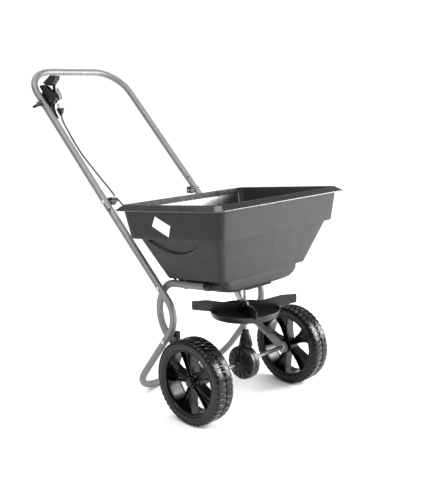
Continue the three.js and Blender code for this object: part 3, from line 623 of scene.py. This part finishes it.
def cut_hole(piece, x, y, radius, low, high):
    """Bores an upright hole through a piece."""
    def wall(r, height, turn):
        return put(x + r * math.cos(turn), y + r * math.sin(turn), height)

    bm = bmesh.new()
    add_turned(bm, [(radius, low), (radius, high)], 40, wall)
    bmesh.ops.recalc_face_normals(bm, faces=bm.faces)
    mesh = bpy.data.meshes.new("drill")
    bm.to_mesh(mesh)
    bm.free()
    drill = bpy.data.objects.new("drill", mesh)
    bpy.context.scene.collection.objects.link(drill)
    modifier = piece.modifiers.new("hole", "BOOLEAN")
    modifier.operation = "DIFFERENCE"
    modifier.solver = "EXACT"
    modifier.object = drill
    bpy.context.view_layer.update()
    result = piece.evaluated_get(bpy.context.evaluated_depsgraph_get())
    solid = bpy.data.meshes.new_from_object(result)
    piece.modifiers.remove(modifier)
    bpy.data.objects.remove(drill)
    piece.data = solid


# ------------------------------------------------------------------ wheels

TREAD = {
    "count": 46, "base": 124.2, "share": 0.80, "slant": math.radians(3.0), "stagger": 0.25,
    "chamfer": 0.8,
}
LUG_TOP_M, LUG_SINK_M = 0.1236, 0.0012  # metres: a block's foot is sunk this far under its edge
LUG_ACROSS = (1.6, 2.6, 12, 22, 27.5, 30.2, 31.3)  # distances from the centre groove
LUG_HEIGHTS = (126.2, 127, 127, 127, 126.3, 124, 121)  # radii there
LUG_TURNS = (-0.5, -0.44, 0, 0.44, 0.5)  # shares of the block's length


def wheel_place(side):
    """Gives a function from a wheel's own radius, outboard distance and angle to the frame."""
    middle = WHEEL["inner"] + WHEEL["width"] / 2

    def place(radius, out, turn):
        return put(radius * math.cos(turn), side * (middle + out), AXLE_Z + radius * math.sin(turn))

    return place


def make_tyre(name, side, body):
    place = wheel_place(side)
    half = WHEEL["width"] / 2
    inner, base, outer = WHEEL["rim"] + 0.4, TREAD["base"], WHEEL["radius"]
    bm = bmesh.new()
    profile = soften([
        (inner, -half + 3), (inner + 4, -half + 1.2), (outer - 12, -half + 0.6), (base - 1.5, -half + 3),
        (base, -half + 7), (base, half - 7), (base - 1.5, half - 3), (outer - 12, half - 0.6),
        (inner + 4, half - 1.2), (inner, half - 3),
    ], 2.0)
    add_turned(bm, profile, ROUND, place, close=True)
    pitch = 2 * math.pi / TREAD["count"]
    for row in (-1, 1):
        for i in range(TREAD["count"]):
            middle = (i + TREAD["stagger"] * row) * pitch
            add_lug(bm, place, middle, row, pitch * TREAD["share"])
    finish_mesh(f"{name}_tread", bm, tyre_skin, body, [f"{name}_tyre"], smooth=40)


def add_lug(bm, place, middle, row, width):
    """One slanted block of the tread, from near the centre groove round the shoulder."""
    grid = []
    for out, height in zip(LUG_ACROSS, LUG_HEIGHTS):
        skew = TREAD["slant"] * (out / LUG_ACROSS[-1]) * row
        line = []
        for share in LUG_TURNS:
            edge = TREAD["chamfer"] if abs(share) == 0.5 else 0.0
            line.append(bm.verts.new(place(height - edge, out * row, middle + skew + share * width)))
        grid.append(line)
    for a, b in zip(grid, grid[1:]):
        for i in range(len(LUG_TURNS) - 1):
            bm.faces.new((a[i], a[i + 1], b[i + 1], b[i]))
    far_end, near_end = [line[-1] for line in grid[1:]], [line[0] for line in grid[-2:0:-1]]
    rim = grid[0] + far_end + grid[-1][-2::-1] + near_end
    count = len(rim)
    foot = []
    centre = place(0.0, 0.0, 0.0)
    for vert in rim:
        offset = vert.co - centre
        flat = Vector((offset.x, 0, offset.z))
        sunk = flat.normalized() * (min(flat.length, LUG_TOP_M) - LUG_SINK_M)
        foot.append(bm.verts.new(centre + Vector((sunk.x, offset.y, sunk.z))))
    for i in range(count):
        j = (i + 1) % count
        bm.faces.new((rim[i], rim[j], foot[j], foot[i]))
    bm.faces.new(foot)


def spoke_half(radius):
    """Half the width of a spoke at a radius: narrow at the hub and flared at the rim."""
    return 8.5 + 6.5 * ease(radius, 20, 66) + 14 * ease(radius, 56, 98)


def make_rim(name, side, body):
    place = wheel_place(side)
    bm = bmesh.new()
    half = WHEEL["width"] / 2 - 2.5
    rim = WHEEL["rim"]
    barrel = soften([
        (rim - 5, -half), (rim, -half), (rim, half), (rim - 3, half + 0.6), (rim - 6, half - 1),
        (rim - 7, half - 9), (rim - 6, -10), (rim - 6, -half + 3),
    ], 1.5)
    add_turned(bm, barrel, ROUND, place, close=True)
    hub = soften([
        (6.8, -half - 1), (24, -half - 1), (24, 2), (21, 7), (17.5, 9), (16.5, 17), (15, 18), (6.8, 18),
    ], 1.6)
    add_turned(bm, hub, 64, place, close=True)
    finish_mesh(f"{name}_rim_and_hub", bm, rim_plastic, body, [f"{name}_wheel_rim"])
    bm = bmesh.new()
    for i in range(WHEEL["spokes"]):
        add_spoke(bm, place, WHEEL["first_spoke"] + i * math.radians(360 / WHEEL["spokes"]))
    finish_mesh(f"{name}_spokes", bm, rim_plastic, body, bevel=0.9)


def add_spoke(bm, place, middle):
    """A web between two edge ribs, all flaring into the rim, with a small rib down the middle."""
    radii = [*range(18, 83, 8), 88, 93, 96]
    rib = 3.4

    def at(radius, offset, out):
        return place(math.hypot(radius, offset), out, middle + math.atan2(offset, radius))

    def wall(inner_edge, outer_edge, back, front):
        rings = []
        for radius in radii:
            a, b, f = inner_edge(radius), outer_edge(radius), front(radius)
            rings.append([at(radius, a, back), at(radius, b, back), at(radius, b, f), at(radius, a, f)])
        add_rings(bm, rings)

    def face(radius):
        return 13.5 - 5.0 * ease(radius, 60, 97)

    for s in (-1, 1):
        wall(lambda r: s * (spoke_half(r) - rib), lambda r: s * spoke_half(r), -20, face)
    wall(lambda r: 0.5 - spoke_half(r), lambda r: spoke_half(r) - 0.5, -8, lambda r: face(r) - 8)
    wall(lambda r: -1.5, lambda r: 1.5, -7, lambda r: face(r) - 4)


# ------------------------------------------------------------------ impeller


def rounded_outline(points, reach):
    """Rounds every corner of a closed outline of (x, z) pairs."""
    closed = [points[-1], *points, points[0]]
    result = []
    for before, corner, after in zip(closed, closed[1:], closed[2:]):
        result += soften([before, corner, after], reach, 4)[1:-1]
    return result


def make_impeller():
    z, radius, reach = IMPELLER["z"], IMPELLER["radius"], IMPELLER["reach"]

    def place(r, h, turn):
        return put(r * math.cos(turn), r * math.sin(turn), h)

    bm = bmesh.new()
    profile = soften([
        (5.2, z - 16), (radius - 9, z - 17), (radius - 3, z - 14), (radius, z), (radius, z + 4),
        (radius - 3, z + 4), (radius - 5, z), (26, z), (15, z + 12), (11, z + 28), (5.2, z + 28),
    ], 1.8)
    add_turned(bm, profile, 128, place, close=True)
    finish_mesh("spinner_tray", bm, impeller_skin, "spinner", ["impeller"])
    outline = rounded_outline([
        (8, z - 1), (radius - 3, z - 1), (radius, z + 2), (reach, z + 12), (reach, z + 39),
        (115, z + 39), (45, z + 25), (8, z + 23),
    ], 3.0)
    bm = bmesh.new()
    for i in range(IMPELLER["blades"]):
        turn = IMPELLER["angle"] + i * 2 * math.pi / IMPELLER["blades"]
        cos, sin = math.cos(turn), math.sin(turn)
        rings = []
        for across in (-1.8, 1.8):
            rings.append([put(r * cos - across * sin, r * sin + across * cos, h) for r, h in outline])
        add_rings(bm, rings)
    finish_mesh("spinner_blades", bm, impeller_skin, "spinner", bevel=0.9)


# ------------------------------------------------------------------ gear case


def drum_place(radius, out, turn):
    return put(radius * math.cos(turn), out, AXLE_Z + radius * math.sin(turn))


def add_fin(bm, corners, thickness, place):
    """A flat fin: its corner points are given by place(point, offset across)."""
    rings = [[place(corner, across) for corner in corners] for across in (-thickness / 2, thickness / 2)]
    add_rings(bm, rings)


def make_gear_cover():
    bm = bmesh.new()
    cover = soften([
        (6.9, -52), (13, -52), (14, -46), (14.5, -36), (24, -31), (44, -29.5), (52, -25), (52, -10.2),
        (49, -10.2), (49, -25), (6.9, -25),
    ], 2.4)
    add_turned(bm, cover, 72, drum_place, close=True)
    for i in range(12):
        turn = i * math.pi / 6

        def radial(corner, across):
            radius, out = corner
            return drum_place(math.hypot(radius, across), out, turn + math.atan2(across, radius))

        add_fin(bm, [(14, -26), (14, -38), (22, -34), (42, -32.2), (49, -28.5), (49, -26)], 2.4, radial)
    lip = soften([(50, -12.5), (53.2, -12.5), (53.2, -10.2), (50, -10.2)], 0.7)
    add_turned(bm, lip, 72, drum_place, close=True)
    finish_mesh("gear_cover", bm, black_plastic, "chassis", ["gear_case_cover"])


def make_gear_housing():
    bm = bmesh.new()
    drum = soften([
        (49, -9.9), (52, -9.9), (52, 5), (47, 8), (17, 8.5), (14, 14), (13, 24), (6.9, 24),
        (6.9, 4.5), (49, 4.5),
    ], 2.0)
    add_turned(bm, drum, 72, drum_place, close=True)

    def upright(radius, height, turn):
        return put(radius * math.cos(turn), radius * math.sin(turn), height)

    neck = soften([
        (5.1, 172), (18, 172), (18, 181), (15, 192), (11.5, 212), (11.2, 227), (10, 228), (5.1, 228),
    ], 2.0)
    add_turned(bm, neck, 40, upright, close=True)
    for i in range(8):
        cos, sin = math.cos(i * math.pi / 4), math.sin(i * math.pi / 4)

        def beside(corner, across):
            radius, height = corner
            return put(radius * cos - across * sin, radius * sin + across * cos, height)

        add_fin(bm, [(8, 174), (21, 174), (21, 184), (14.5, 214), (8, 222)], 2.2, beside)
    finish_mesh("gear_housing", bm, black_plastic, "chassis", ["gear_case_body"])


def make_dial_marks():
    """Plain raised marks along the curved scale, every third one longer, with no lettering."""
    outer, half = DIAL["outer"], DIAL["half_width"]
    bm = bmesh.new()
    for i in range(DIAL["marks"]):
        turn = DIAL["first"] + i * DIAL["pitch"]
        cos, sin = math.cos(turn), math.sin(turn)
        inner = 37.5 if i % 3 == 0 else 40.5

        def spot(radius, across, y):
            along = CONTROL_AXIS[0] + radius * cos - across * sin
            return put(*leg_point(along, CONTROL_AXIS[1] + radius * sin + across * cos, y))

        section = ((inner, -half), (outer, -half), (outer, half), (inner, half))
        add_rings(bm, [[spot(radius, across, y) for radius, across in section] for y in (-172.6, -169.9)])
    finish_mesh("dial_marks", bm, black_plastic, "handle")


# ------------------------------------------------------------------ control cable

CABLE_ROUTE = [
    (-669.7, -159.2, 916),
    (-665, -159.2, 886),
    (-655, -161.5, 868),
    leg_point(308, -8, -166),
    leg_point(258, -12, -165),
    leg_point(203, -12, -164),
    leg_point(146, -7, -162),
    leg_point(89, -1, -160),
    leg_point(45, 4, -158.2),
    leg_point(25.4, 5.5, -157.4),
    leg_point(7, 7, -157),
    leg_point(-25, 12, -155),
    (-345, -153, 578),
    (-290, -150, 520),
    (-235, -146, 460),
    (-196, -138, 412),
    (-172, -112, 376),
    (-158, -70, 358),
    (-144, -28, 354),
    (-124, -5, 355),
]


def under_floor(x):
    """The cable's height below the hopper's sloping floor."""
    return (FLOOR - CABLE_DROP) / math.cos(HOPPER_TILT) + x * math.tan(HOPPER_TILT)


def make_cable():
    """The sheath bends across the fold, and its wire runs on from the stop to the shutter's clamp."""
    stop, clamp = under_floor(-98), under_floor(-42)
    route = CABLE_ROUTE + [(-97, 0, stop)]
    bm = bmesh.new()
    add_rings(bm, tube_rings(smooth_path(route, 8), CABLE_R, 16))
    replaced = ["upper_cable", "lower_cable"]
    piece = finish_mesh("control_cable", bm, cable_skin, None, replaced)
    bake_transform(piece)
    bm = bmesh.new()
    add_rings(bm, tube_rings(bent_path([((-100, 0, stop), 0), ((-42, 0, clamp), 0)]), 1.0, 12))
    finish_mesh("cable_core", bm, bright_steel, "chassis")


# ------------------------------------------------------------------ nodes kept from the CAD


def dress(node, material, bevel):
    """Gives a CAD node its material and softens its edges."""
    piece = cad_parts[node]
    piece.data.materials.clear()
    piece.data.materials.append(material)
    weld = piece.modifiers.new("weld", "WELD")
    weld.merge_threshold = 0.00001
    if bevel:
        round_edges(piece, bevel, 32)


SIDE_LOOKS = (
    ("tube_cap", black_plastic, 0.8),
    ("hopper_bolt", bright_steel, 0.3),
    ("hopper_nut", bright_steel, 0.3),
    ("axle_bushing", pale_plastic, 0.4),
    ("spacer", bright_steel, 0.3),
    ("hub_cap", black_plastic, 0.8),
    ("upper_cross_bolt", yellow_zinc, 0.3),
    ("lower_cross_bolt", yellow_zinc, 0.3),
    ("upper_cross_nut", yellow_zinc, 0.4),
    ("lower_cross_knob", black_plastic, 1.5),
    ("fold_bolt", yellow_zinc, 0.3),
    ("fold_knob", black_plastic, 0.9),
)
LOOKS = (
    (("control_body", "flow_lever", "wing_nut"), black_plastic, 0.7),
    (("cable_adjuster", "shutter_guide"), black_plastic, 0.4),
    (("shutter_plate",), black_plastic, 0.3),
    (("axle", "impeller_shaft"), dark_steel, 0.2),
    (("bevel_gear", "pinion", "agitator"), bright_steel, 0.2),
    (("lever_pivot", "control_clamp_bolt"), bright_steel, 0.3),
    (("shaft_bushing", "dial_plate", "cable_barrel", "cable_clip"), pale_plastic, 0.4),
    (("hopper_label",), label_paper, 0),
)


def dress_nodes():
    for name, _ in SIDES:
        for part, material, bevel in SIDE_LOOKS:
            dress(f"{name}_{part}", material, bevel)
    for nodes, material, bevel in LOOKS:
        for node in nodes:
            dress(node, material, bevel)


# ------------------------------------------------------------------ light, floor and camera


# Each soft light is (name, place, target, size, power), in metres and watts.
SOFT_LIGHTS = (
    ("key_light", (0.4, -2.6, 2.4), (0.1, 0, 0.5), 0.9, 40),
    ("front_light", (2.6, 0.6, 1.9), (0.2, 0, 0.45), 1.2, 40),
    ("inner_light", (1.9, 1.8, 1.12), (0.1, 0, 0.58), 1.3, 130),
)
SUN = {"energy": 3.0, "angle": math.radians(70), "tilt": (math.radians(6), math.radians(-8), 0)}
FLOOR_SIZE, FLOOR_DROP = 40, 0.0008
CAMERA = {
    "lens": 55.49, "sensor_height": 36, "place": (1524.76, -1690.21, 921.27),
    "right": (0.71984, 0.69353, -0.02921), "down": (0.11174, -0.15732, -0.98121),
}


def make_floor():
    bm = bmesh.new()
    bmesh.ops.create_grid(bm, x_segments=2, y_segments=2, size=FLOOR_SIZE)
    mesh = bpy.data.meshes.new("floor")
    bm.to_mesh(mesh)
    bm.free()
    n = Nodes("floor_paper")
    n.link(n.colours(n.noise(3, 3), (0.2, (0.93, 0.93, 0.93)), (0.8, (0.96, 0.96, 0.96))), "Base Color")
    n.set("Roughness", 0.9)
    mesh.materials.append(n.material)
    floor = bpy.data.objects.new("floor", mesh)
    floor.location.z = -FLOOR_DROP
    bpy.context.scene.collection.objects.link(floor)


def make_sun():
    sun = bpy.data.lights.new("overhead_light", "SUN")
    sun.energy = SUN["energy"]
    sun.angle = SUN["angle"]
    lamp = bpy.data.objects.new("overhead_light", sun)
    lamp.rotation_euler = SUN["tilt"]
    bpy.context.scene.collection.objects.link(lamp)


def make_studio():
    """A white surround that is seen at full strength and lights the object with less."""
    world = bpy.data.worlds.new("studio")
    world.use_nodes = True
    tree = world.node_tree
    seen = tree.nodes["Background"]
    seen.inputs["Color"].default_value = (1, 1, 1, 1)
    seen.inputs["Strength"].default_value = 1.05
    unseen = tree.nodes.new("ShaderNodeBackground")
    unseen.inputs["Color"].default_value = (0.97, 0.985, 1, 1)
    unseen.inputs["Strength"].default_value = 0.26
    mix = tree.nodes.new("ShaderNodeMixShader")
    path = tree.nodes.new("ShaderNodeLightPath")
    tree.links.new(path.outputs["Is Camera Ray"], mix.inputs["Fac"])
    tree.links.new(unseen.outputs["Background"], mix.inputs[1])
    tree.links.new(seen.outputs["Background"], mix.inputs[2])
    tree.links.new(mix.outputs["Shader"], tree.nodes["World Output"].inputs["Surface"])
    bpy.context.scene.world = world


def softbox(name, place, target, size, power):
    light = bpy.data.lights.new(name, "AREA")
    light.shape = "SQUARE"
    light.size = size
    light.energy = power
    lamp = bpy.data.objects.new(name, light)
    lamp.location = place
    lamp.rotation_euler = (Vector(target) - Vector(place)).to_track_quat("-Z", "Y").to_euler()
    bpy.context.scene.collection.objects.link(lamp)


def make_camera():
    data = bpy.data.cameras.new("camera")
    data.sensor_fit = "VERTICAL"
    data.sensor_height = CAMERA["sensor_height"]
    data.lens = CAMERA["lens"]
    data.clip_end = 100
    camera = bpy.data.objects.new("camera", data)
    right, down = Vector(CAMERA["right"]), Vector(CAMERA["down"])
    back = right.cross(-down)
    turn = Matrix((right, -down, back)).transposed().to_4x4()
    camera.matrix_world = Matrix.Translation(put(*CAMERA["place"])) @ turn
    bpy.context.scene.collection.objects.link(camera)
    bpy.context.scene.camera = camera
    bpy.context.scene.view_settings.view_transform = "Standard"


make_camera()
make_floor()
make_studio()
for soft_light in SOFT_LIGHTS:
    softbox(*soft_light)
make_sun()
make_lower_tube()
make_handle()
make_hopper_tubes()
make_hopper()
for wheel_name, wheel_side in SIDES:
    wheel_body = "drive" if wheel_side > 0 else "free_wheel"
    make_tyre(wheel_name, wheel_side, wheel_body)
    make_rim(wheel_name, wheel_side, wheel_body)
make_impeller()
make_gear_cover()
make_gear_housing()
make_dial_marks()
make_cable()
dress_nodes()
